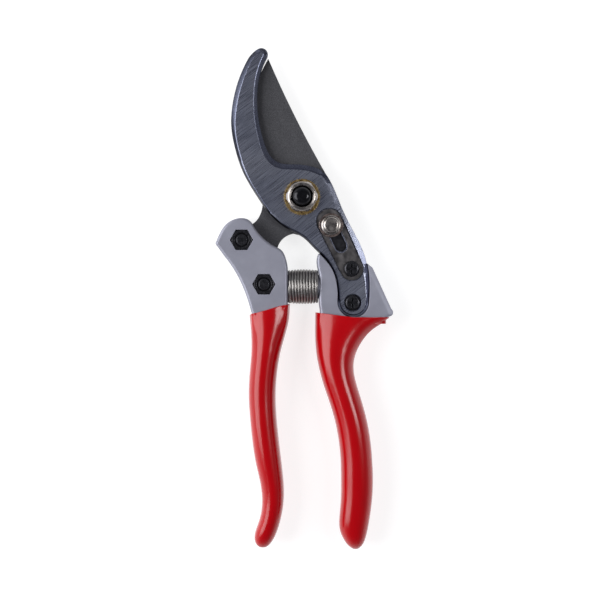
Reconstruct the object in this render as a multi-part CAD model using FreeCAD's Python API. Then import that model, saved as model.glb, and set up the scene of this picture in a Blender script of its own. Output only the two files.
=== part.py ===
import FreeCAD, Part
import math
import os

# Bypass pruning shears, lying flat on their back, closed. Millimetres.
# X is to the right and Y towards the tips as the shears are seen from the front, Z up through the pivot.
# The origin is on the pivot axis, at the back face of the pivot bolt's head.

V = FreeCAD.Vector
UP = V(0, 0, 1)

# Levels along the pivot axis, from the back to the front
BOLT_HEAD_TOP = 3.4
BACK_WASHER_TOP = 4.2
BLADE_BACK = 4.25
BLADE_FRONT = 7.95
HOOK_BACK = 8.0
HOOK_FRONT = 12.4
LOCK_WASHER_TOP = 13.2
PIVOT_NUT_TOP = 18.0
HANDLE_BACK = 2.0
HOOK_HANDLE_FRONT = 14.6
BLADE_HANDLE_FRONT = 16.5
HANDLE_MIDDLE = 9.5
HOOK_CHAMFER = 1.4
HANDLE_ROUND = 1.2

# Pivot
PIVOT_R = 4.0
RUNNING_GAP = 0.05
FREE_GAP = 0.3
BOLT_HEAD_R = 7.5
BACK_WASHER_R = 8.5
LOCK_WASHER_R = 7.6
LOCK_WASHER_TEETH = 48
TOOTH_DEPTH = 0.5
PIVOT_NUT_FLATS = 12.0
PIVOT_END_RISE = 1.6
PIVOT_END_ROUND = 2.4
BOLT_HEAD_ROUND = 1.2
NUT_COUNTERSINK = 0.5

# Cutting bevel, ground into the back of the blade along a round edge
EDGE_START = (-17.2, 11.0)
EDGE_MIDDLE = (-20.9, 36.0)
EDGE_END = (-13.9, 57.4)
EDGE_BEVEL = 9.0
EDGE_LAND = 0.2

# Bolts that hold the blade's tang to its handle
BLADE_BOLT_R = 2.5
TANG_UPPER_R = 6.3
TANG_LOWER_R = 5.6
BLADE_BOLT_HEAD_R = 4.3
BLADE_BOLT_HEAD_BACK = 1.6
BLADE_BOLT_PLACES = {"upper": (-24.6, -17.7), "lower": (-15.5, -35.8)}
BLADE_NUT_FLATS = 8.0
BLADE_NUT_HEIGHT = 4.0
NUT_POCKET_GAP = 0.12
NUT_POCKET_DEPTH = 4.4

# Screws that hold the hook plate to its handle
HOOK_SCREW_R = 2.0
HOOK_SCREW_HEAD_R = 3.3
HOOK_SCREW_HEAD_HEIGHT = 1.6
HOOK_SCREW_RECESS = 1.4
HOOK_SCREW_BACK = 3.6
HOOK_SCREW_PLACES = {"upper": (20.4, -29.4), "lower": (20.8, -43.3)}

# Wing of the hook's handle: where its ridge runs, and how steeply its outer side falls, in degrees
WING_RIDGE = [(28.4, -32.6), (34.3, -45.4)]
WING_FALL = 22.0

# Thumb catch: it slides from the locked place, away from the pivot, along its pocket
CATCH_LOCKED = (11.93, -11.54)
CATCH_DIRECTION = (0.4285, -0.9035)
CATCH_TRAVEL = 5.8
CATCH_SLOT_LENGTH = 9.4
CATCH_STEM_R = 2.1
CATCH_SLOT_R = 2.3
CATCH_BUTTON_R = 4.1
CATCH_CAP_R = 3.3
CATCH_BUTTON_TOP = 16.4
CATCH_WASHER_R = 4.9
CATCH_WASHER_THICK = 0.6
CATCH_PLATE_THICK = 0.5
CATCH_POCKET_FLOOR = 10.9
CATCH_POCKET_START = (11.2, -10.0)
CATCH_POCKET_TOP_R = 5.5
CATCH_POCKET_LOW_R = 5.0
CATCH_PLATE_SLOT_R = 2.9
CATCH_SLIDER_R = 3.3
CATCH_SLIDER_LENGTH = 8.1
CATCH_SLIDER_TOP = 9.6
CATCH_GAP = 0.15
BLADE_NOTCH_R = 3.7

# Return spring between the handles, lying along X
SPRING_Y = -36.7
SPRING_LEFT = -5.75
SPRING_RIGHT = 6.65
SPRING_END_R = 6.4
SPRING_MIDDLE_R = 7.2
SPRING_WIRE = 1.2
SPRING_STUB_R = 4.9
SPRING_STUB_LENGTH = 2.2

# Where the dipping ends on each handle
BLADE_DIP_LINE = [(-30.0, -50.7), (-6.9, -44.2), (-4.0, -43.5)]
HOOK_DIP_LINE = [(4.0, -47.2), (21.0, -49.3), (40.0, -49.3)]

# Dipped grips: stations of (y, left x, right x, thickness), from the jaws to the end of the handle
GRIP_WALL = 1.6
BLADE_GRIP = [
    (-42.0, -22.5, -4.6, 17.2),
    (-49.0, -21.5, -5.2, 17.6),
    (-56.0, -20.9, -6.7, 18.4),
    (-63.5, -20.8, -8.8, 18.9),
    (-71.0, -21.4, -10.1, 19.0),
    (-80.0, -21.9, -10.8, 19.0),
    (-90.0, -21.4, -10.5, 19.0),
    (-100.0, -20.4, -9.5, 18.6),
    (-110.0, -18.8, -8.3, 17.8),
    (-118.0, -17.0, -7.5, 16.8),
    (-126.0, -16.4, -7.6, 15.8),
    (-133.0, -17.6, -8.9, 15.0),
    (-138.0, -19.3, -10.5, 14.0),
    (-141.0, -19.4, -12.0, 12.0),
    (-142.9, -18.5, -13.5, 8.6),
    (-143.8, -17.0, -15.0, 4.0),
]
HOOK_GRIP = [
    (-45.5, 5.5, 38.8, 15.2),
    (-49.0, 5.4, 36.6, 15.6),
    (-52.0, 5.4, 32.2, 16.2),
    (-55.5, 5.4, 27.4, 17.1),
    (-60.0, 5.5, 24.0, 18.1),
    (-65.5, 6.1, 21.6, 18.8),
    (-71.0, 7.2, 21.2, 19.0),
    (-79.0, 9.5, 23.1, 19.0),
    (-88.0, 12.5, 25.8, 19.0),
    (-98.0, 14.8, 27.9, 18.8),
    (-108.0, 15.9, 28.9, 18.4),
    (-118.0, 16.1, 29.2, 17.6),
    (-128.0, 15.7, 28.4, 16.6),
    (-135.0, 15.3, 27.3, 15.6),
    (-139.5, 16.6, 26.3, 14.0),
    (-142.3, 18.3, 25.2, 11.0),
    (-144.0, 20.2, 23.7, 6.4),
    (-144.6, 21.2, 22.8, 2.8),
]


def place(point, z=0.0):
    return V(point[0], point[1], z)


def curve(points, closed=False):
    """Smooth edge through the points."""
    spline = Part.BSplineCurve()
    spline.interpolate(Points=points, PeriodicFlag=closed)
    return spline.toShape()


def outline(start, *steps):
    """Closed wire in the table plane: each step is a line, an arc by a middle point, or a smooth curve."""
    edges = []
    here = start
    for kind, *points in steps:
        corners = [place(p) for p in [here, *points]]
        if kind == "line":
            edges.extend(Part.makeLine(a, b) for a, b in zip(corners, corners[1:]))
        elif kind == "arc":
            edges.append(Part.Arc(*corners).toShape())
        else:
            edges.append(curve(corners))
        here = points[-1]
    return Part.Wire(edges)


def plate(wire, back, front):
    """Solid of the wire's shape between two levels."""
    face = Part.Face(wire)
    face.translate(UP * back)
    return face.extrude(UP * (front - back))


def disc(point, radius, back, front):
    return Part.makeCylinder(radius, front - back, place(point, back))


def hexagon(point, across_flats, back, front):
    """Hex prism with a corner along X."""
    radius = across_flats / math.sqrt(3)
    corners = []
    for k in range(7):
        angle = math.radians(60 * k)
        corners.append(place(point) + V(radius * math.cos(angle), radius * math.sin(angle), 0))
    return plate(Part.makePolygon(corners), back, front)


def edges_at(shape, level):
    """Edges that lie wholly in the plane at a level."""
    found = []
    for edge in shape.Edges:
        box = edge.BoundBox
        if abs(box.ZMin - level) < 1e-4 and abs(box.ZMax - level) < 1e-4:
            found.append(edge)
    return found


def nut(point, across_flats, bore, back, front):
    """Hex nut with both ends turned down to a cone."""
    corner_r = across_flats / math.sqrt(3)
    face_r = across_flats / 2 * 0.98
    drop = (corner_r - face_r) * 0.58
    profile = Part.makePolygon([
        V(0, 0, back),
        V(face_r, 0, back),
        V(corner_r, 0, back + drop),
        V(corner_r, 0, front - drop),
        V(face_r, 0, front),
        V(0, 0, front),
        V(0, 0, back),
    ])
    turned = Part.Face(profile).revolve(V(0, 0, 0), UP, 360)
    turned.translate(place(point))
    body = hexagon(point, across_flats, back, front).common(turned)
    mouth = Part.makeCone(bore, bore + NUT_COUNTERSINK, NUT_COUNTERSINK, place(point, front - NUT_COUNTERSINK))
    return body.cut([disc(point, bore, back, front), mouth])


def along_catch(distance):
    """Point on the catch's line of travel, measured from its locked place."""
    x, y = CATCH_LOCKED
    return (x + CATCH_DIRECTION[0] * distance, y + CATCH_DIRECTION[1] * distance)


def slot(first, last, first_r, last_r, back, front):
    """Round-ended slot between two centres, tapered when the radii differ."""
    run = place(last) - place(first)
    length = run.Length
    along = run * (1 / length)
    lean = math.asin((first_r - last_r) / length)
    sides = []
    for sign in (1, -1):
        turned = FreeCAD.Rotation(UP, math.degrees(sign * (math.pi / 2 - lean))).multVec(along)
        sides.append((place(first) + turned * first_r, place(last) + turned * last_r))
    (a, b), (d, c) = sides
    wire = Part.Wire([
        Part.makeLine(a, b),
        Part.Arc(b, place(last) + along * last_r, c).toShape(),
        Part.makeLine(c, d),
        Part.Arc(d, place(first) - along * first_r, a).toShape(),
    ])
    return plate(wire, back, front)


def hook_outline():
    return outline(
        (-14.3, 57.4),
        ("arc", (-14.6, 60.3), (-18.0, 60.9)),
        ("curve", (-20.9, 58.6), (-23.4, 54.5), (-26.4, 47.2), (-28.4, 39.0), (-29.1, 29.9), (-27.5, 20.1),
         (-24.2, 10.3), (-18.5, 0.4), (-11.9, -8.4), (-5.2, -13.4), (1.0, -16.9), (5.0, -20.9), (9.0, -24.8),
         (13.0, -30.4), (14.6, -36.6), (14.8, -42.9)),
        ("arc", (21.0, -49.1), (27.2, -42.9)),
        ("curve", (27.2, -31.5), (25.7, -23.9), (21.3, -14.4), (16.4, -4.5), (12.3, 5.3), (8.2, 10.8),
         (3.0, 12.9), (-3.5, 13.5), (-9.2, 14.1), (-12.6, 16.5), (-15.3, 21.8), (-17.4, 29.6), (-18.3, 39.0),
         (-17.6, 48.4), (-14.3, 57.4)),
    )


def blade_outline():
    return outline(
        EDGE_END,
        ("arc", (-2.5, 32.8), (9.8, 9.9)),
        ("curve", (13.1, 3.5), (14.3, -4.0), (13.3, -10.8), (8.5, -14.8), (2.2, -15.8), (-3.4, -14.8)),
        ("curve", (-6.9, -16.1), (-9.2, -18.5), (-10.2, -21.5)),
        ("line", (-9.9, -35.8)),
        ("arc", (-15.5, -41.4), (-20.4, -38.5)),
        ("line", (-30.1, -20.7)),
        ("arc", (-30.3, -15.0), (-23.6, -11.48)),
        ("curve", (-19.8, -10.4), (-17.2, -6.9), (-16.2, 0.0), EDGE_START),
        ("arc", EDGE_MIDDLE, EDGE_END),
    )


def blade_head_outline():
    return outline(
        (-34.9, -18.2),
        ("curve", (-33.3, -14.6), (-30.6, -11.0), (-26.8, -9.0), (-23.2, -8.9), (-20.4, -10.8)),
        ("arc", (-15.5, -17.2), (-9.4, -21.1)),
        ("curve", (-7.7, -22.7), (-6.5, -25.6), (-5.95, -28.2), (-5.8, -30.2)),
        ("line", (-5.8, -43.6), (-7.6, -50.5), (-19.4, -50.5), (-20.7, -47.0)),
        ("curve", (-23.1, -39.3), (-27.0, -31.0), (-31.6, -24.4)),
        ("line", (-34.6, -20.2)),
        ("arc", (-35.2, -19.2), (-34.9, -18.2)),
    )


def hook_head_outline():
    return outline(
        (6.6, -23.4),
        ("arc", (12.9, -20.6), (18.2, -16.1)),
        ("curve", (21.4, -17.4), (24.3, -22.2), (28.8, -28.8)),
        ("line", (36.6, -45.9)),
        ("arc", (37.2, -47.9), (35.6, -49.0)),
        ("line", (33.0, -51.0), (7.4, -51.0), (7.4, -46.5)),
        ("curve", (6.9, -40.0), (6.9, -31.5), (6.1, -27.4), (6.6, -23.4)),
    )


def tang_seat():
    """Room for the blade's tang in the back of its handle."""
    upper = BLADE_BOLT_PLACES["upper"]
    lower = BLADE_BOLT_PLACES["lower"]
    back = HANDLE_BACK - 1
    ends = slot(upper, lower, TANG_UPPER_R + FREE_GAP, TANG_LOWER_R + FREE_GAP, back, BLADE_FRONT)
    right = lower[0] + TANG_LOWER_R + FREE_GAP
    corners = [upper, (-23.6, -8.0), (0.0, -8.0), (0.0, -16.0), (right, -20.0), (right, lower[1]), lower, upper]
    return ends.fuse(plate(Part.makePolygon([place(p) for p in corners]), back, BLADE_FRONT))


def tail_pocket():
    """Room for the hook plate's tail in the front of its handle."""
    wire = outline(
        (0.7, -17.1),
        ("curve", (4.8, -21.1), (8.8, -25.0), (12.7, -30.5), (14.3, -36.6), (14.5, -42.9)),
        ("arc", (21.0, -49.4), (27.5, -42.9)),
        ("curve", (27.5, -31.5), (26.0, -23.8), (21.6, -14.3)),
        ("line", (0.7, -17.1)),
    )
    return plate(wire, HOOK_BACK, HOOK_HANDLE_FRONT + 1)


def oval(station, inset):
    """Rounded section across a handle."""
    y, left, right, thick = station
    half_width = (right - left) / 2 - inset
    half_thick = thick / 2 - inset
    points = []
    for k in range(16):
        c = math.cos(math.tau * k / 16)
        s = math.sin(math.tau * k / 16)
        x = (left + right) / 2 + half_width * math.copysign(abs(c) ** 0.8, c)
        z = HANDLE_MIDDLE + half_thick * math.copysign(abs(s) ** 0.8, s)
        points.append(V(x, y, z))
    return Part.Wire(curve(points, closed=True))


def grip_body(stations):
    return Part.makeLoft([oval(s, 0.0) for s in stations], True)


def grip_core(stations):
    """The frame's bar inside the grip: the grip's shape, less the grip's wall."""
    inner = [s for s in stations if s[1] + 2.5 * GRIP_WALL < s[2] and s[3] > 4 * GRIP_WALL]
    return Part.makeLoft([oval(s, GRIP_WALL) for s in inner[1:]], True)


def below(*edge):
    """Everything on the grip's side of the line where the dipping ends."""
    corners = [*edge, (60.0, edge[-1][1]), (60.0, -170.0), (-60.0, -170.0), (-60.0, edge[0][1]), edge[0]]
    return plate(Part.makePolygon([place(p) for p in corners]), -10.0, 40.0)


def spring_stub(side_x, direction):
    """Round stub that keeps the spring's end in place."""
    centre = V(side_x - direction * 1.0, SPRING_Y, HANDLE_MIDDLE)
    length = SPRING_STUB_LENGTH + 1.0
    return Part.makeCylinder(SPRING_STUB_R, length, centre, V(direction, 0, 0))


def hook_blade():
    body = plate(hook_outline(), HOOK_BACK, HOOK_FRONT)
    body = body.makeChamfer(HOOK_CHAMFER, edges_at(body, HOOK_FRONT))
    body = body.cut(disc((0, 0), PIVOT_R + RUNNING_GAP, HOOK_BACK, HOOK_FRONT))
    body = body.cut(slot(CATCH_POCKET_START, HOOK_SCREW_PLACES["upper"], CATCH_POCKET_TOP_R,
                         CATCH_POCKET_LOW_R, CATCH_POCKET_FLOOR, HOOK_FRONT))
    body = body.cut(slot(CATCH_LOCKED, along_catch(CATCH_SLOT_LENGTH), CATCH_SLOT_R, CATCH_SLOT_R,
                         HOOK_BACK, HOOK_FRONT))
    room = CATCH_SLIDER_R + FREE_GAP
    body = body.cut(slot(CATCH_LOCKED, along_catch(CATCH_SLIDER_LENGTH + CATCH_TRAVEL), room, room,
                         HOOK_BACK, CATCH_SLIDER_TOP + CATCH_GAP))
    for point in HOOK_SCREW_PLACES.values():
        body = body.cut(disc(point, HOOK_SCREW_R + RUNNING_GAP, HOOK_BACK, HOOK_FRONT))
    head_room = HOOK_SCREW_HEAD_R + FREE_GAP
    return body.cut(disc(HOOK_SCREW_PLACES["lower"], head_room, HOOK_FRONT - HOOK_SCREW_RECESS, HOOK_FRONT))


def edge_bevel():
    """What is ground away behind the cutting edge: a wedge swept round the edge's own centre."""
    edge = Part.Arc(place(EDGE_START), place(EDGE_MIDDLE), place(EDGE_END)).toShape().Curve
    centre = edge.Center
    spoke = (place(EDGE_START) - centre).normalize()
    reach = edge.Radius + 1.0
    root = edge.Radius - EDGE_BEVEL
    rise = (BLADE_FRONT - EDGE_LAND - BLADE_BACK) * (reach - root) / EDGE_BEVEL
    foot = centre + spoke * root + UP * BLADE_BACK
    low = centre + spoke * reach + UP * BLADE_BACK
    sweep = math.degrees((place(EDGE_START) - centre).getAngle(place(EDGE_END) - centre))
    wedge = Part.Face(Part.makePolygon([foot, low, low + UP * rise, foot]))
    return wedge.revolve(centre, -UP, sweep + 10)


def cutting_blade():
    body = plate(blade_outline(), BLADE_BACK, BLADE_FRONT).cut(edge_bevel())
    body = body.cut(disc((0, 0), PIVOT_R + RUNNING_GAP, BLADE_BACK, BLADE_FRONT))
    body = body.cut(disc(CATCH_LOCKED, BLADE_NOTCH_R, BLADE_BACK, BLADE_FRONT))
    for point in BLADE_BOLT_PLACES.values():
        body = body.cut(disc(point, BLADE_BOLT_R + RUNNING_GAP, BLADE_BACK, BLADE_FRONT))
    return body


def blade_handle_frame():
    head = plate(blade_head_outline(), HANDLE_BACK, BLADE_HANDLE_FRONT)
    head = head.makeFillet(HANDLE_ROUND, edges_at(head, BLADE_HANDLE_FRONT))
    body = head.fuse(grip_core(BLADE_GRIP))
    body = body.fuse(spring_stub(SPRING_LEFT, 1))
    body = body.cut(tang_seat())
    for point in BLADE_BOLT_PLACES.values():
        body = body.cut(disc(point, BLADE_BOLT_R + RUNNING_GAP, HANDLE_BACK, BLADE_HANDLE_FRONT))
        body = body.cut(hexagon(point, BLADE_NUT_FLATS + 2 * NUT_POCKET_GAP,
                                BLADE_HANDLE_FRONT - NUT_POCKET_DEPTH, BLADE_HANDLE_FRONT + 1))
    return body.removeSplitter()


def wing_slope():
    """What the wing's outer side lacks: it falls away from a ridge towards the edge."""
    along = place(WING_RIDGE[1]) - place(WING_RIDGE[0])
    turn = FreeCAD.Rotation(UP, math.degrees(math.atan2(along.y, along.x)))
    tilt = FreeCAD.Rotation(V(1, 0, 0), -WING_FALL)
    block = Part.makeBox(2 * along.Length, 12.0, 8.0, V(-along.Length / 2, 0, 0))
    block.Placement = FreeCAD.Placement(place(WING_RIDGE[0], HOOK_HANDLE_FRONT), turn.multiply(tilt))
    return block


def hook_handle_frame():
    head = plate(hook_head_outline(), HANDLE_BACK, HOOK_HANDLE_FRONT)
    head = head.makeFillet(HANDLE_ROUND, edges_at(head, HOOK_HANDLE_FRONT)).cut(wing_slope())
    body = head.fuse(grip_core(HOOK_GRIP))
    body = body.fuse(spring_stub(SPRING_RIGHT, -1))
    body = body.cut(tail_pocket())
    for point in HOOK_SCREW_PLACES.values():
        body = body.cut(disc(point, HOOK_SCREW_R + RUNNING_GAP, HOOK_SCREW_BACK - 0.5, HOOK_BACK))
    return body.removeSplitter()


def blade_handle_grip(frame):
    outer = grip_body(BLADE_GRIP).common(below(*BLADE_DIP_LINE))
    return outer.cut(frame)


def hook_handle_grip(frame):
    outer = grip_body(HOOK_GRIP).common(below(*HOOK_DIP_LINE))
    return outer.cut([frame, tail_pocket()])


def pivot_bolt():
    head = disc((0, 0), BOLT_HEAD_R, 0.0, BOLT_HEAD_TOP)
    head = head.makeFillet(BOLT_HEAD_ROUND, edges_at(head, 0.0))
    top = PIVOT_NUT_TOP + PIVOT_END_RISE
    end = disc((0, 0), PIVOT_R, BOLT_HEAD_TOP, top)
    end = end.makeFillet(PIVOT_END_ROUND, edges_at(end, top))
    return head.fuse(end).removeSplitter()


def pivot_back_washer():
    ring = disc((0, 0), BACK_WASHER_R, BOLT_HEAD_TOP, BACK_WASHER_TOP)
    return ring.cut(disc((0, 0), PIVOT_R + RUNNING_GAP, BOLT_HEAD_TOP, BACK_WASHER_TOP))


def pivot_lock_washer():
    """Ring with fine teeth round its rim."""
    corners = []
    for k in range(2 * LOCK_WASHER_TEETH + 1):
        radius = LOCK_WASHER_R - TOOTH_DEPTH * (k % 2)
        angle = math.pi * k / LOCK_WASHER_TEETH
        corners.append(V(radius * math.cos(angle), radius * math.sin(angle), 0))
    ring = plate(Part.makePolygon(corners), HOOK_FRONT, LOCK_WASHER_TOP)
    return ring.cut(disc((0, 0), PIVOT_R + RUNNING_GAP, HOOK_FRONT, LOCK_WASHER_TOP))


def blade_bolt(point):
    """Bolt from the back, with a low round head and a domed end."""
    end_level = BLADE_HANDLE_FRONT - NUT_POCKET_DEPTH + BLADE_NUT_HEIGHT + 0.5
    head = disc(point, BLADE_BOLT_HEAD_R, BLADE_BOLT_HEAD_BACK, BLADE_BACK)
    head = head.makeFillet(0.9, edges_at(head, BLADE_BOLT_HEAD_BACK))
    head = head.cut(hexagon(point, 3.0, BLADE_BOLT_HEAD_BACK, BLADE_BOLT_HEAD_BACK + 1.8))
    shank = disc(point, BLADE_BOLT_R, BLADE_BACK, end_level)
    shank = shank.makeChamfer(0.6, edges_at(shank, end_level))
    return head.fuse(shank).removeSplitter()


def blade_nut(point):
    floor = BLADE_HANDLE_FRONT - NUT_POCKET_DEPTH
    return nut(point, BLADE_NUT_FLATS, BLADE_BOLT_R + RUNNING_GAP, floor, floor + BLADE_NUT_HEIGHT)


def hook_screw(point, seat):
    """Cross-head screw whose head sits on the level called seat."""
    top = seat + HOOK_SCREW_HEAD_HEIGHT
    head = disc(point, HOOK_SCREW_HEAD_R, seat, top)
    head = head.makeFillet(1.1, edges_at(head, top))
    for size in ((4.0, 0.9), (0.9, 4.0)):
        corner = place(point, top - 1.2) - V(size[0] / 2, size[1] / 2, 0)
        head = head.cut(Part.makeBox(size[0], size[1], 2.0, corner))
    shank = disc(point, HOOK_SCREW_R, HOOK_SCREW_BACK, seat)
    return head.fuse(shank).removeSplitter()


def catch_spring_plate():
    """Thin spring plate on the floor of the hook's pocket, slotted for the catch."""
    top = CATCH_POCKET_FLOOR + CATCH_PLATE_THICK
    body = slot(CATCH_POCKET_START, HOOK_SCREW_PLACES["upper"], CATCH_POCKET_TOP_R - FREE_GAP,
                CATCH_POCKET_LOW_R - FREE_GAP, CATCH_POCKET_FLOOR, top)
    body = body.cut(slot(CATCH_LOCKED, along_catch(CATCH_SLOT_LENGTH), CATCH_PLATE_SLOT_R, CATCH_PLATE_SLOT_R,
                         CATCH_POCKET_FLOOR, top))
    return body.cut(disc(HOOK_SCREW_PLACES["upper"], HOOK_SCREW_R + RUNNING_GAP, CATCH_POCKET_FLOOR, top))


def catch_levels():
    """Underside and top of the catch's washer."""
    under = CATCH_POCKET_FLOOR + CATCH_PLATE_THICK + CATCH_GAP
    return under, under + CATCH_WASHER_THICK


def catch_washer():
    under, top = catch_levels()
    ring = disc(CATCH_LOCKED, CATCH_WASHER_R, under, top)
    return ring.cut(disc(CATCH_LOCKED, CATCH_STEM_R + RUNNING_GAP, under, top))


def catch_button():
    """Turned button with a stepped cap, and the stem that goes through the slot."""
    _, seat = catch_levels()
    middle = (seat + CATCH_BUTTON_TOP) / 2
    body = disc(CATCH_LOCKED, CATCH_BUTTON_R, seat, middle)
    body = body.makeFillet(0.7, edges_at(body, middle))
    cap = disc(CATCH_LOCKED, CATCH_CAP_R, middle, CATCH_BUTTON_TOP)
    cap = cap.makeFillet(1.0, edges_at(cap, CATCH_BUTTON_TOP))
    stem = disc(CATCH_LOCKED, CATCH_STEM_R, HOOK_BACK + CATCH_GAP, seat)
    return body.fuse([cap, stem]).removeSplitter()


def catch_slider():
    """Bar on the stem's end, in the hook's back, long enough to close the slot from behind."""
    back = HOOK_BACK + CATCH_GAP
    bar = slot(CATCH_LOCKED, along_catch(CATCH_SLIDER_LENGTH), CATCH_SLIDER_R, CATCH_SLIDER_R,
               back, CATCH_SLIDER_TOP)
    return bar.cut(disc(CATCH_LOCKED, CATCH_STEM_R + RUNNING_GAP, back, CATCH_SLIDER_TOP))


def return_spring():
    """Closed coils as one barrel-shaped tube."""
    middle_x = (SPRING_LEFT + SPRING_RIGHT) / 2
    bulge = Part.Arc(V(SPRING_LEFT, SPRING_END_R, 0), V(middle_x, SPRING_MIDDLE_R, 0),
                     V(SPRING_RIGHT, SPRING_END_R, 0)).toShape()
    bore_r = SPRING_END_R - SPRING_WIRE
    inner = Part.makePolygon([V(SPRING_RIGHT, SPRING_END_R, 0), V(SPRING_RIGHT, bore_r, 0),
                              V(SPRING_LEFT, bore_r, 0), V(SPRING_LEFT, SPRING_END_R, 0)])
    section = Part.Face(Part.Wire([bulge, *inner.Edges]))
    tube = section.revolve(V(0, 0, 0), V(1, 0, 0), 360)
    tube.translate(V(0, SPRING_Y, HANDLE_MIDDLE))
    return tube


def all_parts():
    blade_frame = blade_handle_frame()
    hook_frame = hook_handle_frame()
    parts = {
        "hook_blade": hook_blade(),
        "cutting_blade": cutting_blade(),
        "blade_handle_frame": blade_frame,
        "blade_handle_grip": blade_handle_grip(blade_frame),
        "hook_handle_frame": hook_frame,
        "hook_handle_grip": hook_handle_grip(hook_frame),
        "pivot_bolt": pivot_bolt(),
        "pivot_back_washer": pivot_back_washer(),
        "pivot_lock_washer": pivot_lock_washer(),
        "pivot_nut": nut((0, 0), PIVOT_NUT_FLATS, PIVOT_R + RUNNING_GAP, LOCK_WASHER_TOP, PIVOT_NUT_TOP),
        "hook_screw_upper": hook_screw(HOOK_SCREW_PLACES["upper"], CATCH_POCKET_FLOOR + CATCH_PLATE_THICK),
        "hook_screw_lower": hook_screw(HOOK_SCREW_PLACES["lower"], HOOK_FRONT - HOOK_SCREW_RECESS),
        "catch_spring_plate": catch_spring_plate(),
        "catch_washer": catch_washer(),
        "catch_button": catch_button(),
        "catch_slider": catch_slider(),
        "return_spring": return_spring(),
    }
    for name, point in BLADE_BOLT_PLACES.items():
        parts[f"blade_bolt_{name}"] = blade_bolt(point)
        parts[f"blade_nut_{name}"] = blade_nut(point)
    return parts


os.makedirs("parts", exist_ok=True)
for name, shape in all_parts().items():
    print(name, shape.isValid(), len(shape.Solids), round(shape.Volume, 1))
    shape.exportStep(f"parts/{name}.step")
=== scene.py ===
import logging
import math
from dataclasses import dataclass
from enum import Enum

import bmesh
import bpy
from mathutils import Matrix, Vector
from mathutils.bvhtree import BVHTree


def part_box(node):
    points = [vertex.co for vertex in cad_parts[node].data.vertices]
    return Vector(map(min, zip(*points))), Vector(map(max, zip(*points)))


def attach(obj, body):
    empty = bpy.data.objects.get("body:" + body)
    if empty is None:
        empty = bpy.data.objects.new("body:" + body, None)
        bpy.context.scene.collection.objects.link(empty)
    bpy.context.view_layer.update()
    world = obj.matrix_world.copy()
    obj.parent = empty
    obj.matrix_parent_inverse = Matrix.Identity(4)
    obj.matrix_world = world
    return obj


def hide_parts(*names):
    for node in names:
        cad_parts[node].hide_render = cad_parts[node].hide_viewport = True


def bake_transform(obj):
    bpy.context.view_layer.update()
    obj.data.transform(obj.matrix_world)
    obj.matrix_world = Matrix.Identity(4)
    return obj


# Pruning shears lying flat on their back: +Z is the pivot axis, +Y runs towards the tips. Metres.

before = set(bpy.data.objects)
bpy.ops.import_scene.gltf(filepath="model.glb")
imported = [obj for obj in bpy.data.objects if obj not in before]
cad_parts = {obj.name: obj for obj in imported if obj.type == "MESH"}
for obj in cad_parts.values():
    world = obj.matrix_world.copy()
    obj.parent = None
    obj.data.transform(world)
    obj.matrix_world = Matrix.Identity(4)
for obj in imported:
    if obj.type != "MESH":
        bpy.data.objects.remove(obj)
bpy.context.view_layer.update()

log = logging.getLogger("pruning_shears")

MM = 0.001
# Points of a CAD mesh that are closer than this are one point
WELD = 0.002 * MM
# Faces of a CAD mesh that turn by less than this are one face
FLAT_ANGLE = math.radians(0.4)
# Edges that turn by more than this are sharp
SHARP_ANGLE = math.radians(28.0)
# Faces across a rounded edge
EDGE_SEGMENTS = 3


class Side(Enum):
    """Which of the two handles a piece belongs to, as the CAD nodes name them."""

    HOOK = "hook"
    BLADE = "blade"


def srgb(code: str) -> tuple[float, float, float, float]:
    """Turn a hex colour into linear light.

    Args:
        code: An sRGB colour such as "#c8102e".

    Returns:
        Linear red, green, blue and an alpha of one.
    """
    values = [int(code[i : i + 2], 16) / 255 for i in (1, 3, 5)]
    linear = [v / 12.92 if v <= 0.04045 else ((v + 0.055) / 1.055) ** 2.4 for v in values]
    return (linear[0], linear[1], linear[2], 1.0)


def add_node(
    tree: bpy.types.NodeTree,
    kind: str,
    settings: dict | None = None,
    values: dict | None = None,
    links: dict | None = None,
) -> bpy.types.Node:
    """Add a node with its settings, socket values and incoming links.

    Args:
        tree: The node tree that gets the node.
        kind: The node's type name, such as "ShaderNodeTexNoise".
        settings: Attribute name to value.
        values: Input socket name or index to a constant.
        links: Input socket name or index to the output socket that feeds it.

    Returns:
        The new node.
    """
    node = tree.nodes.new(kind)
    for name, value in (settings or {}).items():
        setattr(node, name, value)
    for socket, value in (values or {}).items():
        node.inputs[socket].default_value = value
    for socket, source in (links or {}).items():
        tree.links.new(source, node.inputs[socket])
    return node


def stops(node: bpy.types.Node, *marks: tuple[float, str]) -> bpy.types.NodeSocket:
    """Set a colour ramp's stops.

    Args:
        node: The colour ramp node.
        marks: Pairs of position and hex colour, in order.

    Returns:
        The ramp's colour output.
    """
    ramp = node.color_ramp
    while len(ramp.elements) < len(marks):
        ramp.elements.new(0.5)
    for element, (position, colour) in zip(ramp.elements, marks):
        element.position = position
        element.color = srgb(colour)
    return node.outputs["Color"]


# --------------------------------------------------------------------------------------------------
# Finishes
# --------------------------------------------------------------------------------------------------


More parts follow.
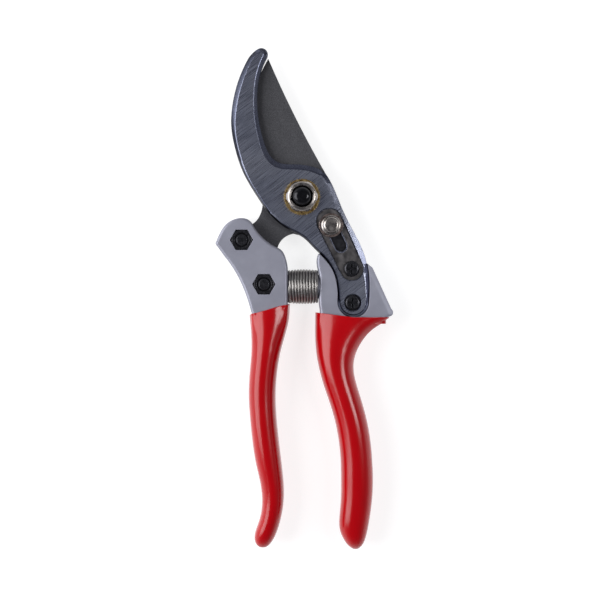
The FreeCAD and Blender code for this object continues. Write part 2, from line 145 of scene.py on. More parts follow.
@dataclass(frozen=True)
class Finish:
    """What every finish shares: a name, the record's slot, and a shader with a relief on it."""

    name: str
    slot: str

    def start(self) -> tuple[bpy.types.Material, bpy.types.NodeTree, bpy.types.Node]:
        """Make the empty material.

        Returns:
            The material, its node tree and its shader.
        """
        material = bpy.data.materials.new(self.name)
        material.use_nodes = True
        tree = material.node_tree
        tree.nodes.clear()
        shader = add_node(tree, "ShaderNodeBsdfPrincipled")
        add_node(tree, "ShaderNodeOutputMaterial", links={"Surface": shader.outputs["BSDF"]})
        return material, tree, shader

    def pattern(
        self,
        tree: bpy.types.NodeTree,
        size: tuple[float, float, float],
        turn: float = 0.0,
        detail: float = 2.0,
    ) -> bpy.types.NodeSocket:
        """Noise in object space whose features are as large as asked.

        Args:
            tree: The material's node tree.
            size: Feature size along X, Y and Z, in millimetres, after the turn.
            turn: Turn about Z in degrees.
            detail: Octaves of the noise.

        Returns:
            The noise factor, about 0 to 1.
        """
        coordinates = add_node(tree, "ShaderNodeTexCoord")
        turned = add_node(
            tree,
            "ShaderNodeMapping",
            values={"Rotation": (0.0, 0.0, math.radians(-turn))},
            links={"Vector": coordinates.outputs["Object"]},
        )
        sized = add_node(
            tree,
            "ShaderNodeMapping",
            values={"Scale": tuple(1.0 / (MM * s) for s in size)},
            links={"Vector": turned.outputs["Vector"]},
        )
        noise = add_node(
            tree,
            "ShaderNodeTexNoise",
            values={"Scale": 1.0, "Detail": detail, "Roughness": 0.55},
            links={"Vector": sized.outputs["Vector"]},
        )
        return noise.outputs["Fac"]

    def relief(
        self,
        tree: bpy.types.NodeTree,
        shader: bpy.types.Node,
        height: bpy.types.NodeSocket,
        depth: float,
        strength: float,
    ) -> None:
        """Put a fine relief on the shader.

        Args:
            tree: The material's node tree.
            shader: The shader that gets the relief.
            height: The pattern that is the relief's height.
            depth: Depth of the relief in millimetres.
            strength: Share of the relief that is used.
        """
        bump = add_node(
            tree,
            "ShaderNodeBump",
            values={"Strength": strength, "Distance": depth * MM},
            links={"Height": height},
        )
        tree.links.new(bump.outputs["Normal"], shader.inputs["Normal"])


@dataclass(frozen=True)
class GroundSteel(Finish):
    """Carbon steel plate, hardened and surface ground: cool grey, with fine straight grinding lines.

    The colour is darkened by how far each face tilts from the front, as painted shade: darkest on the
    steep edges, and on the jaw's bevel less bright than the face but brighter than the steep edges.
    The lines are 0.05 mm apart on the real plate and are drawn 0.18 mm apart, because
    they would not show otherwise.
    """

    line_spacing: float = 0.18
    line_length: float = 11.0
    direction: float = 38.0
    roughness: float = 0.28
    patch_size: tuple[float, float, float] = (22.0, 14.0, 14.0)
    # Painted shade: scale darkens the steeply tilted faces, and bevel the slightly tilted ones
    scale: str = "#4c4d54"
    bevel: str = "#9a9ba2"
    line_depth: float = 0.012

    def make(self) -> bpy.types.Material:
        """Build the material.

        Returns:
            The finished material.
        """
        material, tree, shader = self.start()
        size = (self.line_length, self.line_spacing, self.line_spacing)
        lines = self.pattern(tree, size, self.direction, 3.0)
        cloud = self.pattern(tree, self.patch_size, self.direction)
        tint = add_node(tree, "ShaderNodeValToRGB", links={"Fac": lines})
        base = stops(tint, (0.28, "#a0a4b3"), (0.52, "#aaaebe"), (0.74, "#b9bdcb"))
        shade = add_node(tree, "ShaderNodeValToRGB", links={"Fac": cloud})
        patches = stops(shade, (0.30, "#dfe1e8"), (0.70, "#ffffff"))
        # Painted shade: the colour is darkened by how far the shading normal tilts from the front, most
        # on steep faces, to tone down the chamfers' reflections; flat faces keep their full colour
        coordinates = add_node(tree, "ShaderNodeTexCoord")
        tilt = add_node(tree, "ShaderNodeSeparateXYZ", links={"Vector": coordinates.outputs["Normal"]})
        painted_tilt_shade = add_node(tree, "ShaderNodeValToRGB", links={"Fac": tilt.outputs["Z"]})
        marks = ((0.70, self.scale), (0.78, self.bevel), (0.96, self.bevel), (0.99, "#ffffff"))
        colour = base
        for layer in (patches, stops(painted_tilt_shade, *marks)):
            # The mix's inputs 0, 6 and 7 are its factor and two colours, and output 2 is its colour
            product = add_node(
                tree,
                "ShaderNodeMix",
                settings={"data_type": "RGBA", "blend_type": "MULTIPLY"},
                values={0: 1.0},
                links={6: colour, 7: layer},
            )
            colour = product.outputs[2]
        tree.links.new(colour, shader.inputs["Base Color"])
        rough = add_node(
            tree,
            "ShaderNodeMapRange",
            values={
                "From Min": 0.3,
                "From Max": 0.7,
                "To Min": self.roughness - 0.06,
                "To Max": self.roughness + 0.1,
            },
            links={"Value": lines},
        )
        tree.links.new(rough.outputs["Result"], shader.inputs["Roughness"])
        shader.inputs["Metallic"].default_value = 1.0
        self.relief(tree, shader, lines, self.line_depth, 0.6)
        return material


@dataclass(frozen=True)
class BladeCoating(Finish):
    """Steel with a baked fluoropolymer coat: near black, matt, with a fine sandy grain."""

    colour: str = "#444448"
    grain: float = 0.25
    grain_depth: float = 0.05
    rub_size: tuple[float, float, float] = (9.0, 2.5, 2.5)
    rub_direction: float = -62.0
    smoothest: float = 0.42
    roughest: float = 0.56

    def make(self) -> bpy.types.Material:
        """Build the material.

        Returns:
            The finished material.
        """
        material, tree, shader = self.start()
        grain = self.pattern(tree, (self.grain, self.grain, self.grain), detail=3.0)
        rub = self.pattern(tree, self.rub_size, self.rub_direction, 4.0)
        tint = add_node(tree, "ShaderNodeValToRGB", links={"Fac": grain})
        base = stops(tint, (0.34, "#323236"), (0.52, self.colour), (0.70, "#5c5c61"))
        tree.links.new(base, shader.inputs["Base Color"])
        rough = add_node(
            tree,
            "ShaderNodeMapRange",
            values={
                "From Min": 0.3,
                "From Max": 0.7,
                "To Min": self.smoothest,
                "To Max": self.roughest,
            },
            links={"Value": rub},
        )
        tree.links.new(rough.outputs["Result"], shader.inputs["Roughness"])
        shader.inputs["Metallic"].default_value = 0.25
        self.relief(tree, shader, grain, self.grain_depth, 0.6)
        return material


@dataclass(frozen=True)
class SatinAluminium(Finish):
    """Cast aluminium, shot blasted and clear anodised: even silver grey with a fine satin sparkle."""

    colour: str = "#9293a0"
    grain: float = 0.16
    grain_depth: float = 0.03
    cloud_size: float = 7.0
    roughness: float = 0.50

    def make(self) -> bpy.types.Material:
        """Build the material.

        Returns:
            The finished material.
        """
        material, tree, shader = self.start()
        grain = self.pattern(tree, (self.grain, self.grain, self.grain))
        cloud = self.pattern(tree, (self.cloud_size, self.cloud_size, self.cloud_size))
        tint = add_node(tree, "ShaderNodeValToRGB", links={"Fac": cloud})
        base = stops(tint, (0.25, "#8c8d9a"), (0.55, self.colour), (0.80, "#9899a6"))
        tree.links.new(base, shader.inputs["Base Color"])
        shader.inputs["Metallic"].default_value = 0.55
        shader.inputs["Roughness"].default_value = self.roughness
        self.relief(tree, shader, grain, self.grain_depth, 0.35)
        return material


@dataclass(frozen=True)
class DippedVinyl(Finish):
    """Soft PVC that the handle was dipped in: saturated red, glossy, faintly wavy as it ran off."""

    wave: float = 5.0
    wave_depth: float = 0.10
    dust: float = 0.5
    smoothest: float = 0.17
    roughest: float = 0.23

    def make(self) -> bpy.types.Material:
        """Build the material.

        Returns:
            The finished material.
        """
        material, tree, shader = self.start()
        waves = self.pattern(tree, (self.wave, 3 * self.wave, self.wave), detail=1.0)
        dust = self.pattern(tree, (self.dust, self.dust, self.dust))
        tint = add_node(tree, "ShaderNodeValToRGB", links={"Fac": waves})
        base = stops(tint, (0.25, "#a80009"), (0.75, "#b0020c"))
        tree.links.new(base, shader.inputs["Base Color"])
        rough = add_node(
            tree,
            "ShaderNodeMapRange",
            values={
                "From Min": 0.3,
                "From Max": 0.7,
                "To Min": self.smoothest,
                "To Max": self.roughest,
            },
            links={"Value": dust},
        )
        tree.links.new(rough.outputs["Result"], shader.inputs["Roughness"])
        shader.inputs["IOR"].default_value = 1.45
        shader.inputs["Subsurface Weight"].default_value = 0.05
        shader.inputs["Subsurface Scale"].default_value = 0.5 * MM
        self.relief(tree, shader, waves, self.wave_depth, 0.5)
        return material


@dataclass(frozen=True)
class PlainMetal(Finish):
    """A metal part with one colour that drifts a little and a roughness that shows handling."""

    dark: str = "#1c1c1f"
    light: str = "#2c2c30"
    metallic: float = 1.0
    roughness: float = 0.3
    drift: float = 1.5
    relief_depth: float = 0.01

    def make(self) -> bpy.types.Material:
        """Build the material.

        Returns:
            The finished material.
        """
        material, tree, shader = self.start()
        drift = self.pattern(tree, (self.drift, self.drift, self.drift), detail=4.0)
        tint = add_node(tree, "ShaderNodeValToRGB", links={"Fac": drift})
        tree.links.new(stops(tint, (0.32, self.dark), (0.68, self.light)), shader.inputs["Base Color"])
        rough = add_node(
            tree,
            "ShaderNodeMapRange",
            values={
                "From Min": 0.3,
                "From Max": 0.7,
                "To Min": self.roughness * 0.8,
                "To Max": self.roughness * 1.25,
            },
            links={"Value": drift},
        )
        tree.links.new(rough.outputs["Result"], shader.inputs["Roughness"])
        shader.inputs["Metallic"].default_value = self.metallic
        self.relief(tree, shader, drift, self.relief_depth, 0.5)
        return material


# Black oxide on steel: almost black, slightly oily
BLACK_OXIDE = PlainMetal("black_oxide_steel", "black_steel", "#2a2a2e", "#3c3c41", 0.75, 0.27, 0.8)
# The same oxide on the pivot bolt's polished end: glossy enough to mirror the lights
POLISHED_OXIDE = PlainMetal(
    "polished_black_oxide", "black_steel", "#17171a", "#242428", 0.6, 0.17, 1.0, 0.003
)
# Bright nickel plate: mirror-like, faintly warm
BRIGHT_NICKEL = PlainMetal(
    "bright_nickel_plate", "bright_steel", "#98928d", "#b4aea9", 1.0, 0.26, 2.0, 0.004
)
# Drawn spring wire, nickel plated: a little darker in its drawing marks
SPRING_WIRE = PlainMetal(
    "plated_spring_wire", "bright_steel", "#827f7d", "#9e9b99", 1.0, 0.36, 0.9, 0.006
)
# Worn plate over steel on the catch's washer: rosy grey
PINK_ZINC = PlainMetal("worn_zinc_plate", "bright_steel", "#93807a", "#b3a39d", 1.0, 0.30, 1.5, 0.006)
# Yellow zinc plate: straw coloured with a brown tinge
YELLOW_ZINC = PlainMetal("yellow_zinc_plate", "yellow_zinc", "#a8834a", "#d4bb85", 1.0, 0.30, 1.2, 0.01)
# Spring steel, oil tempered: brown-black, rubbed by the catch
TEMPERED_STEEL = PlainMetal(
    "oil_tempered_spring_steel", "dark_spring_steel", "#5b595a", "#7a7778", 0.9, 0.34, 2.6
)
# Spring steel on the slider under the slot, coloured near black: painted shade of the slot's deep
# inside
SLIDER_SLOT_SHADE = PlainMetal("slider_steel_painted_slot_shade", "dark_spring_steel", "#242428", "#333338", 0.8, 0.42, 1.5)

GROUND_STEEL = GroundSteel("ground_steel_plate", "ground_steel")
BLADE_COATING = BladeCoating("fluoropolymer_coating", "black_coating")
SATIN_ALUMINIUM = SatinAluminium("satin_anodised_aluminium", "cast_aluminium")
DIPPED_VINYL = DippedVinyl("dipped_red_vinyl", "red_vinyl")

# Materials that are already made, by name
_made: dict[str, bpy.types.Material] = {}


def dress(piece: bpy.types.Object, finish: Finish) -> None:
    """Give a piece its finish, as its only material.

    Args:
        piece: The mesh object.
        finish: Its finish, made once and shared.
    """
    if finish.name not in _made:
        _made[finish.name] = finish.make()
    piece.data.materials.clear()
    piece.data.materials.append(_made[finish.name])


# --------------------------------------------------------------------------------------------------
# Shared mesh work
# --------------------------------------------------------------------------------------------------


def ring_edges(ring: list[bmesh.types.BMVert]) -> list[bmesh.types.BMEdge]:
    """The edges that join a ring's own vertices."""
    members = set(ring)
    return list({e for v in ring for e in v.link_edges if members.issuperset(e.verts)})


def new_piece(
    name: str, mesh: bmesh.types.BMesh, smooth_angle: float = SHARP_ANGLE
) -> bpy.types.Object:
    """Turn a bmesh into an object at the origin, smooth except across sharp edges.

    Args:
        name: The piece's name.
        mesh: The geometry, in the object's frame. It is freed.
        smooth_angle: Edges that turn by more than this stay sharp.

    Returns:
        The new object, linked to the scene.
    """
    data = bpy.data.meshes.new(name)
    mesh.to_mesh(data)
    mesh.free()
    data.polygons.foreach_set("use_smooth", [True] * len(data.polygons))
    data.set_sharp_from_angle(angle=smooth_angle)
    piece = bpy.data.objects.new(name, data)
    bpy.context.scene.collection.objects.link(piece)
    return piece


def settle(piece: bpy.types.Object, body: str, finish: Finish, *nodes: str) -> None:
    """Dress a piece, put it on its body and let it stand for its CAD nodes.

    Args:
        piece: The finished mesh object.
        body: The CAD body that it rides on.
        finish: Its finish.
        nodes: The CAD nodes that it replaces.
    """
    dress(piece, finish)
    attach(piece, body)
    if nodes:
        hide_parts(*nodes)
    log.info("%s: %d faces on %s", piece.name, len(piece.data.polygons), body)


def merged_copy(node: str) -> bmesh.types.BMesh:
    """Copy a CAD node's mesh with its loose triangles joined and its flat faces whole.

    Args:
        node: The CAD node's name.

    Returns:
        The copy, as a bmesh.
    """
    copy = bmesh.new()
    copy.from_mesh(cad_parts[node].data)
    bmesh.ops.remove_doubles(copy, verts=copy.verts, dist=WELD)
    bmesh.ops.dissolve_degenerate(copy, edges=copy.edges, dist=WELD)
    bmesh.ops.dissolve_limit(copy, angle_limit=FLAT_ANGLE, verts=copy.verts, edges=copy.edges)
    return copy


def bevel_edges(
    mesh: bmesh.types.BMesh, edges: list[bmesh.types.BMEdge], width: float, segments: int
) -> None:
    """Bevel some edges of a mesh.

    Args:
        mesh: The geometry that is changed.
        edges: Its edges that are bevelled.
        width: Width of the bevel.
        segments: Faces across the bevel.
    """
    bmesh.ops.bevel(
        mesh,
        geom=edges,
        offset=width,
        offset_type="OFFSET",
        segments=segments,
        profile=0.5,
        affect="EDGES",
        clamp_overlap=False,
        material=-1,
    )


def soften(mesh: bmesh.types.BMesh, width: float) -> None:
    """Round every sharp edge.

    Args:
        mesh: The geometry that is changed.
        width: Width of the rounding.
    """
    sharp = [e for e in mesh.edges if len(e.link_faces) == 2 and e.calc_face_angle(0.0) > SHARP_ANGLE]
    bevel_edges(mesh, sharp, width, EDGE_SEGMENTS)


def weighted(piece: bpy.types.Object) -> bpy.types.Object:
    """Let large flat faces keep their own normals beside rounded edges.

    Args:
        piece: The mesh object that gets the modifier.

    Returns:
        The same object.
    """
    modifier = piece.modifiers.new("weighted_normals", "WEIGHTED_NORMAL")
    modifier.keep_sharp = True
    return piece


def mix(first: float, second: float, share: float) -> float:
    """Blend two numbers."""
    return first + (second - first) * share


def ease(low: float, high: float, value: float) -> float:
    """Rise smoothly from 0 at low to 1 at high."""
    share = min(1.0, max(0.0, (value - low) / (high - low)))
    return share * share * (3 - 2 * share)


def rounded_copy(name: str, node: str, width: float) -> bpy.types.Object:
    """Make a piece from a CAD node with its sharp edges rounded.

    Args:
        name: The piece's name.
        node: The CAD node.
        width: Width of the rounding.

    Returns:
        The piece, not yet dressed.
    """
    mesh = merged_copy(node)
    soften(mesh, width)
    return weighted(new_piece(name, mesh))


# --------------------------------------------------------------------------------------------------
# Sub-assemblies
# --------------------------------------------------------------------------------------------------


@dataclass
class Jaws:
    """The hook plate and the cutting blade.

    The hook's chamfer is wide and shallow in the jaw, steep along the back and narrow round the tail.
    """

    edge: float = 0.10 * MM
    blade_edge: float = 0.08 * MM
    cad_chamfer: float = 1.4 * MM
    back_chamfer: float = 1.35 * MM
    jaw_chamfer: float = 1.75 * MM
    tail_chamfer: float = 0.70 * MM
    back_slope: float = 1.27
    jaw_slope: float = 0.75
    rim: float = 0.28 * MM
    even_over: float = 2.0 * MM
    jaw_start: tuple[float, float] = (9.0 * MM, 13.0 * MM)
    tail_start: tuple[float, float] = (-20.0 * MM, -33.0 * MM)
    jaw_turn: float = 0.35
    chamfer_tilt: tuple[float, float] = (0.5, 0.9)

    def build(self) -> None:
        """Build and dress both plates."""
        mesh = merged_copy("hook_blade")
        self.vary_chamfer(mesh)
        soften(mesh, self.edge)
        hook = weighted(new_piece("hook_plate", mesh))
        settle(hook, "hook_side", GROUND_STEEL, "hook_blade")
        blade = rounded_copy("blade_plate", "cutting_blade", self.blade_edge)
        settle(blade, "blade_side", BLADE_COATING, "cutting_blade")

    def chamfer(self, place: Vector, outward: Vector) -> tuple[float, float]:
        """How the ground chamfer runs at one place on the outline.

        Args:
            place: A point on the outline.
            outward: The outline's outward direction there.

        Returns:
            Its width and its drop.
        """
        faces_jaw = ease(0.0, self.jaw_turn, outward.x + max(0.0, outward.y))
        in_jaw = ease(*self.jaw_start, place.y) * faces_jaw
        in_tail = 1 - ease(self.tail_start[1], self.tail_start[0], place.y)
        width = mix(mix(self.back_chamfer, self.jaw_chamfer, in_jaw), self.tail_chamfer, in_tail)
        return width, width * mix(self.back_slope, self.jaw_slope, in_jaw)

    def vary_chamfer(self, mesh: bmesh.types.BMesh) -> None:
        """Move the even chamfer's two edges to where chamfer puts them, and break its front edge.

        Args:
            mesh: The hook's geometry, which is changed.
        """
        front = max(v.co.z for v in mesh.verts)
        steepest, flattest = self.chamfer_tilt
        outwards = {}
        for vertex in mesh.verts:
            slopes = [f.normal for f in vertex.link_faces if steepest < f.normal.z < flattest]
            if slopes:
                outward = sum(slopes, Vector())
                outwards[vertex] = Vector((outward.x, outward.y, 0.0)).normalized()
        places = {vertex: vertex.co.copy() for vertex in outwards}
        for vertex, place in places.items():
            near = [
                outwards[other]
                for other, there in places.items()
                if (there - place).length < self.even_over
            ]
            outward = sum(near, Vector()).normalized()
            if front - place.z < self.cad_chamfer / 2:
                width, _ = self.chamfer(place + outward * self.cad_chamfer, outward)
                vertex.co = place + outward * (self.cad_chamfer - width)
            else:
                vertex.co.z = front - self.chamfer(place, outward)[1]
        mesh.normal_update()
        rim = [e for e in mesh.edges if all(v in places and front - v.co.z < WELD for v in e.verts)]
        bevel_edges(mesh, rim, self.rim, 1)


@dataclass
class Handle:
    """One handle: its aluminium frame and the vinyl grip dipped over it."""

    side: Side
    body: str
    dip_line: tuple[tuple[float, float], ...]
    bar_edge: float = 0.18 * MM
    rings: int = 64
    ring_points: int = 64
    lip: float = 0.25 * MM
    lip_fall: float = 0.2
    inner_depth: float = 2.5
    wall: float = 1.1 * MM
    settle_over: float = 22.0 * MM
    far: float = 0.2
    clear: float = 0.1 * MM
    coat: float = 0.7 * MM
    march: float = 0.5 * MM
    smoothed_rings: int = 16
    smoothing_step: int = 3
    smoothing: float = 0.5
    fade: float = 6.0 * MM

    @property
    def grip_node(self) -> str:
        """Name of the grip's CAD node."""
        return f"{self.side.value}_handle_grip"

    @property
    def frame_node(self) -> str:
        """Name of the frame's CAD node."""
        return f"{self.side.value}_handle_frame"

    @property
    def lowest_dip(self) -> float:
        """Where the dip line is furthest from the tips."""
        return min(y for _, y in self.dip_line) * MM

    def build(self) -> None:
        """Build and dress the frame and the grip."""
        bar = rounded_copy(f"{self.side.value}_handle_bar", self.frame_node, self.bar_edge)
        settle(bar, self.body, SATIN_ALUMINIUM, self.frame_node)
        settle(self.grip(), self.body, DIPPED_VINYL, self.grip_node)

    def dip_level(self, x: float) -> float:
        """Where the dipping ends.

        Args:
            x: A place across the handle.

        Returns:
            How far along the handle the dip line lies there.
        """
        for (x0, y0), (x1, y1) in zip(self.dip_line, self.dip_line[1:]):
            if x <= x1 * MM or (x1, y1) == self.dip_line[-1]:
                return mix(y0, y1, (x / MM - x0) / (x1 - x0)) * MM
        raise ValueError(f"{self.side.value} handle has no dip line at {x}")

    def skin(self, node: str) -> BVHTree:
        """Make a CAD node's faces ready for casting onto.

        Args:
            node: The CAD node.

        Returns:
            Its faces as a search tree.
        """
        source = bmesh.new()
        source.from_mesh(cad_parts[node].data)
        tree = BVHTree.FromBMesh(source)
        source.free()
        return tree

    def ring(
        self,
        outer: BVHTree,
        bar: BVHTree,
        level: float,
        y: float,
        flat: float,
        spare: list[float],
    ) -> list[Vector]:
        """Points round the grip's outside at one place along it.

        Args:
            outer: The CAD grip's faces.
            bar: The CAD frame's faces, which the skin has to cover.
            level: Height of the grip's middle.
            y: How far along the ring lies where it is flat.
            flat: 0 where the ring follows the dip line, 1 where it lies square to Y.
            spare: How far each point of the last ring stood off the CAD grip, faded. It is updated.

        Returns:
            The points, in order round the grip.
        """
        left = outer.ray_cast(Vector((-self.far, y, level)), Vector((1, 0, 0)))[0]
        right = outer.ray_cast(Vector((self.far, y, level)), Vector((-1, 0, 0)))[0]
        middle = (left.x + right.x) / 2
        start = Vector((middle, y, level))
        points = []
        for k in range(self.ring_points):
            angle = math.tau * k / self.ring_points
            out = Vector((math.cos(angle), 0.0, math.sin(angle)))
            reach = (outer.ray_cast(start + out * self.far, -out)[0] - start).length
            here = y + (self.dip_level(middle + out.x * reach) - self.lowest_dip) * (1 - flat)
            steps = math.ceil(abs(here - y) / self.march) + 1
            for step in range(1, steps + 1):
                core = Vector((middle, mix(y, here, step / steps), level))
                nearer = outer.ray_cast(core + out * self.far, -out)[0]
                if nearer and abs((nearer - core).length - reach) < self.wall:
                    reach = (nearer - core).length
            metal = bar.ray_cast(core + out * self.far, -out)[0]
            covered = (metal - core).length + self.coat if metal else 0.0
            spare[k] = max(spare[k], covered - reach)
            points.append(core + out * (reach + spare[k]))
        return points

    def grip(self) -> bpy.types.Object:
        """Loft the grip through rings that lie on the CAD grip, close its end and roll its lip in.

        Returns:
            The grip, not yet dressed.
        """
        outer, bar = self.skin(self.grip_node), self.skin(self.frame_node)
        low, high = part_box(self.grip_node)
        level = (low.z + high.z) / 2
        top = self.lowest_dip - 2 * self.clear
        end = low.y + self.clear
        mesh = bmesh.new()
        loops = []
        spare = [0.0] * self.ring_points
        last = top
        for k in range(self.rings):
            y = mix(top, end, (1 - math.cos(math.pi * k / (self.rings - 1))) / 2)
            spare = [s * math.exp((y - last) / self.fade) for s in spare]
            last = y
            flat = ease(0.0, self.settle_over, top - y)
            circle = bmesh.ops.create_circle(mesh, segments=self.ring_points, radius=MM)["verts"]
            for vertex, place in zip(circle, self.ring(outer, bar, level, y, flat, spare)):
                vertex.co = place
            loops.append(circle)
        for first, second in zip(loops, loops[1:]):
            bmesh.ops.bridge_loops(mesh, edges=ring_edges(first) + ring_edges(second))
        for start in range(self.smoothing_step, self.smoothed_rings, self.smoothing_step):
            near_lip = [v for loop in loops[start : self.smoothed_rings] for v in loop]
            bmesh.ops.smooth_vert(
                mesh,
                verts=near_lip,
                factor=self.smoothing,
                use_axis_x=True,
                use_axis_y=True,
                use_axis_z=True,
            )
        cap = bmesh.ops.edgeloop_fill(mesh, edges=ring_edges(loops[-1]))["faces"]
        bmesh.ops.poke(mesh, faces=cap)
        self.roll_lip(mesh, ring_edges(loops[0]))
        bmesh.ops.recalc_face_normals(mesh, faces=mesh.faces)
        piece = new_piece(f"{self.side.value}_grip_skin", mesh, math.pi)
        smooth = piece.modifiers.new("subdivision", "SUBSURF")
        smooth.levels = 2
        smooth.render_levels = 2
        return piece

    def roll_lip(self, mesh: bmesh.types.BMesh, rim: list[bmesh.types.BMEdge]) -> None:
        """Turn the open end in towards the frame, as a dipped skin ends.

        Args:
            mesh: The grip's geometry.
            rim: The edges of its open end.
        """
        for inward, back in (
            (0.0, -self.lip),
            (self.lip, -self.lip_fall * self.lip),
            (self.wall, 0.0),
            (0.0, self.inner_depth * self.wall),
        ):
            made = bmesh.ops.extrude_edge_only(mesh, edges=rim)["geom"]
            rim = [e for e in made if isinstance(e, bmesh.types.BMEdge) and e.is_boundary]
            verts = [v for v in made if isinstance(v, bmesh.types.BMVert)]
            centre = sum((v.co for v in verts), Vector()) / len(verts)
            for vertex in verts:
                flat = Vector((vertex.co.x - centre.x, 0.0, vertex.co.z - centre.z))
                vertex.co -= flat.normalized() * inward
                vertex.co.y -= back


@dataclass
class PivotHardware:
    """What holds the two plates together."""

    nut_points: int = 96
    nut_bore: float = 4.15 * MM
    nut_corner: float = 0.45 * MM
    cone_foot: float = 1.3 * MM
    cone_top: float = 0.55 * MM
    brow: tuple[float, float] = (0.45 * MM, 0.12 * MM)
    face_inset: float = 0.75 * MM
    mouth: tuple[float, float] = (0.3 * MM, 0.7 * MM)
    bolt_edge: float = 0.15 * MM
    lock_washer_edge: float = 0.06 * MM
    back_washer_edge: float = 0.10 * MM

    def nut(self) -> bpy.types.Object:
        """Turn the nut: a hexagon with its corners turned off, a cone in front and a countersunk mouth.

        Returns:
            The nut, not yet dressed.
        """
        low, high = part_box("pivot_nut")
        centre = (low + high) / 2
        half_flats = min(high.x - low.x, high.y - low.y) / 2
        corner = half_flats + self.nut_corner
        profile = (
            (self.nut_bore, low.z),
            (corner, low.z),
            (corner, high.z - self.cone_foot),
            (half_flats, high.z - self.cone_top),
            (half_flats - self.brow[0], high.z - self.brow[1]),
            (half_flats - self.face_inset, high.z),
            (self.nut_bore + self.mouth[0], high.z),
            (self.nut_bore, high.z - self.mouth[1]),
        )
        mesh = bmesh.new()
        rings = []
        for radius, level in profile:
            ring = bmesh.ops.create_circle(mesh, segments=self.nut_points, radius=radius)["verts"]
            for vertex in ring:
                angle = math.atan2(vertex.co.y, vertex.co.x)
                off_flat = angle % (math.pi / 3) - math.pi / 6
                reach = min(radius, half_flats / math.cos(off_flat))
                across = Vector((reach * math.cos(angle), reach * math.sin(angle), 0.0))
                vertex.co = Vector((centre.x, centre.y, level)) + across
            rings.append(ring)
        for first, second in zip(rings, rings[1:] + rings[:1]):
            bmesh.ops.bridge_loops(mesh, edges=ring_edges(first) + ring_edges(second))
        bmesh.ops.recalc_face_normals(mesh, faces=mesh.faces)
        return new_piece("pivot_nut_finished", mesh)

    def build(self) -> None:
        """Build and dress the pivot's pieces."""
        settle(self.nut(), "hook_side", BRIGHT_NICKEL, "pivot_nut")
        for node, width, finish in (
            ("pivot_bolt", self.bolt_edge, POLISHED_OXIDE),
            ("pivot_lock_washer", self.lock_washer_edge, YELLOW_ZINC),
            ("pivot_back_washer", self.back_washer_edge, BRIGHT_NICKEL),
        ):
            settle(rounded_copy(f"{node}_finished", node, width), "hook_side", finish, node)


@dataclass
class Fasteners:
    """The two bolts and nuts of the blade's tang and the two screws of the hook plate."""

    edge: float = 0.08 * MM

    def build(self) -> None:
        """Build and dress the fasteners."""
        for place in ("upper", "lower"):
            for kind, body in (
                ("blade_bolt", "blade_side"),
                ("blade_nut", "blade_side"),
                ("hook_screw", "hook_side"),
            ):
                node = f"{kind}_{place}"
                settle(rounded_copy(f"{node}_finished", node, self.edge), body, BLACK_OXIDE, node)


@dataclass
class ThumbCatch:
    """The sliding catch and the spring plate that it rubs on."""

    edge: float = 0.08 * MM

    def build(self) -> None:
        """Build and dress the catch."""
        for node, finish in (
            ("catch_button", BRIGHT_NICKEL),
            ("catch_washer", PINK_ZINC),
            # The slider's near black colour is painted shade inside the slot
            ("catch_slider", SLIDER_SLOT_SHADE),
        ):
            settle(rounded_copy(f"{node}_finished", node, self.edge), "catch", finish, node)
        plate = rounded_copy("catch_plate", "catch_spring_plate", self.edge)
        settle(plate, "hook_side", TEMPERED_STEEL, "catch_spring_plate")


@dataclass
class ReturnSpring:
    """A close-coiled compression spring between the handles, slightly barrel shaped."""

    wire: float = 1.08 * MM
    coils: float = 11.0
    flat_turn: float = 0.75
    steps_per_coil: int = 32
    wire_points: int = 12
    end_share: float = 0.93
    smooth_angle: float = math.radians(50.0)

    def build(self) -> None:
        """Wind the spring, give it its barrel shape and stretch it between the two handles."""
        low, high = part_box("return_spring")
        centre = (low + high) / 2
        length = high.x - low.x
        mean_r = (high.z - low.z) / 2 - self.wire / 2
        steps = int(self.coils * self.steps_per_coil)
        mesh = bmesh.new()
        place = Matrix.Translation((0.0, 0.0, mean_r)) @ Matrix.Rotation(math.pi / 2, 4, "X")
        bmesh.ops.create_circle(mesh, segments=self.wire_points, radius=self.wire / 2, matrix=place)
        bmesh.ops.spin(
            mesh,
            geom=list(mesh.verts) + list(mesh.edges),
            cent=(0, 0, 0),
            axis=(1, 0, 0),
            angle=math.tau * self.coils,
            steps=steps,
        )
        mesh.verts.ensure_lookup_table()
        pitch = (length - self.wire) / (self.coils - 2 * self.flat_turn)
        for index, vertex in enumerate(mesh.verts):
            turn = index // self.wire_points / self.steps_per_coil - self.flat_turn
            vertex.co.x += self.wire / 2 + pitch * min(max(turn, 0.0), self.coils - 2 * self.flat_turn)
            aside = (vertex.co.x - length / 2) / (length / 2)
            scale = mix(1.0, self.end_share, min(1.0, aside * aside))
            vertex.co.y *= scale
            vertex.co.z *= scale
        bmesh.ops.holes_fill(mesh, edges=[e for e in mesh.edges if e.is_boundary], sides=0)
        bmesh.ops.translate(mesh, verts=mesh.verts, vec=(low.x, centre.y, centre.z))
        bmesh.ops.recalc_face_normals(mesh, faces=mesh.faces)
        spring = new_piece("return_spring_coil", mesh, self.smooth_angle)
        dress(spring, SPRING_WIRE)
        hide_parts("return_spring")
        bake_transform(spring)
        log.info("%s: %d faces between the handles", spring.name, len(spring.data.polygons))


@dataclass(frozen=True)
class Softbox:
    """A soft light beside the camera: its middle, its width and length, and its power in watts."""

    side: str
    place: tuple[float, float, float]
    size: tuple[float, float]
    power: float


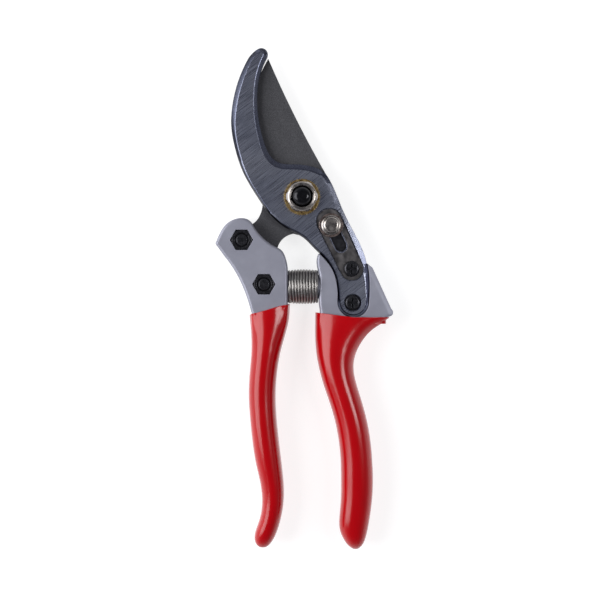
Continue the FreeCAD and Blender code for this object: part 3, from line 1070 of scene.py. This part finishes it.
@dataclass
class Studio:
    """Floor, light and camera."""

    softboxes: tuple[Softbox, ...] = (
        Softbox("left", (-0.62, 0.03, 0.50), (0.66, 0.74), 7.2),
        Softbox("right", (0.42, 0.01, 0.60), (0.18, 0.30), 1.7),
    )
    left_glow: float = 1.08
    right_glow: float = 0.50
    floor_radius: float = 3.0
    floor_glow: float = 0.78
    camera_distance: float = 0.65
    view_width: float = 0.246
    view_centre: tuple[float, float] = (-0.0008, -0.0422)
    plate_level: float = 0.012
    sensor: float = 36.0

    def build(self) -> None:
        """Set the stage."""
        self.floor()
        self.world()
        for softbox in self.softboxes:
            self.hang(softbox)
        self.camera()
        bpy.context.scene.view_settings.view_transform = "Standard"

    def floor(self) -> None:
        """A plain pale floor under the shears, lit a little from within like a light table."""
        mesh = bmesh.new()
        bmesh.ops.create_circle(mesh, cap_ends=True, segments=64, radius=self.floor_radius)
        floor = new_piece("floor", mesh)
        material = bpy.data.materials.new("plain_pale_floor")
        material.use_nodes = True
        shader = material.node_tree.nodes["Principled BSDF"]
        shader.inputs["Base Color"].default_value = srgb("#a4a4a4")
        shader.inputs["Roughness"].default_value = 0.9
        shader.inputs["Emission Color"].default_value = srgb("#ffffff")
        shader.inputs["Emission Strength"].default_value = self.floor_glow
        floor.data.materials.append(material)

    def world(self) -> None:
        """A room that is bright near the horizon, more so on the left, and dim overhead."""
        world = bpy.data.worlds.new("studio")
        world.use_nodes = True
        tree = world.node_tree
        tree.nodes.clear()
        direction = add_node(tree, "ShaderNodeTexCoord")
        split = add_node(
            tree, "ShaderNodeSeparateXYZ", links={"Vector": direction.outputs["Generated"]}
        )
        height = add_node(tree, "ShaderNodeValToRGB", links={"Fac": split.outputs["Z"]})
        rise = stops(
            height,
            (0.0, "#ffffff"),
            (0.22, "#dcdde2"),
            (0.50, "#8c8e96"),
            (0.82, "#55565e"),
            (1.0, "#4a4b52"),
        )
        across = add_node(
            tree,
            "ShaderNodeMapRange",
            values={
                "From Min": -1.0,
                "From Max": 1.0,
                "To Min": self.left_glow,
                "To Max": self.right_glow,
            },
            links={"Value": split.outputs["X"]},
        )
        background = add_node(
            tree, "ShaderNodeBackground", links={"Color": rise, "Strength": across.outputs["Result"]}
        )
        add_node(tree, "ShaderNodeOutputWorld", links={"Surface": background.outputs["Background"]})
        bpy.context.scene.world = world

    def hang(self, softbox: Softbox) -> None:
        """Hang a soft light, aimed at the handles.

        Args:
            softbox: The light.
        """
        name = f"softbox_{softbox.side}"
        light = bpy.data.lights.new(name, "AREA")
        light.shape = "RECTANGLE"
        light.size, light.size_y = softbox.size
        light.energy = softbox.power
        lamp = bpy.data.objects.new(name, light)
        lamp.location = softbox.place
        aim = Vector((*self.view_centre, 0.0)) - lamp.location
        lamp.rotation_euler = aim.to_track_quat("-Z", "Y").to_euler()
        bpy.context.scene.collection.objects.link(lamp)

    def camera(self) -> None:
        """Look straight down on the face of the shears."""
        data = bpy.data.cameras.new("camera")
        data.sensor_width = self.sensor
        data.lens = self.sensor * self.camera_distance / self.view_width
        camera = bpy.data.objects.new("camera", data)
        camera.location = (*self.view_centre, self.plate_level + self.camera_distance)
        bpy.context.scene.collection.objects.link(camera)
        bpy.context.scene.camera = camera


def main() -> None:
    """Build every sub-assembly in order."""
    logging.basicConfig(level=logging.INFO, format="%(name)s: %(message)s")
    for assembly in (
        Jaws(),
        Handle(Side.HOOK, "hook_side", ((4.0, -47.2), (21.0, -49.3), (40.0, -49.3))),
        Handle(Side.BLADE, "blade_side", ((-30.0, -50.7), (-6.9, -44.2), (-4.0, -43.5))),
        PivotHardware(),
        Fasteners(),
        ThumbCatch(),
        ReturnSpring(),
        Studio(),
    ):
        assembly.build()


if __name__ == "__main__":
    main()
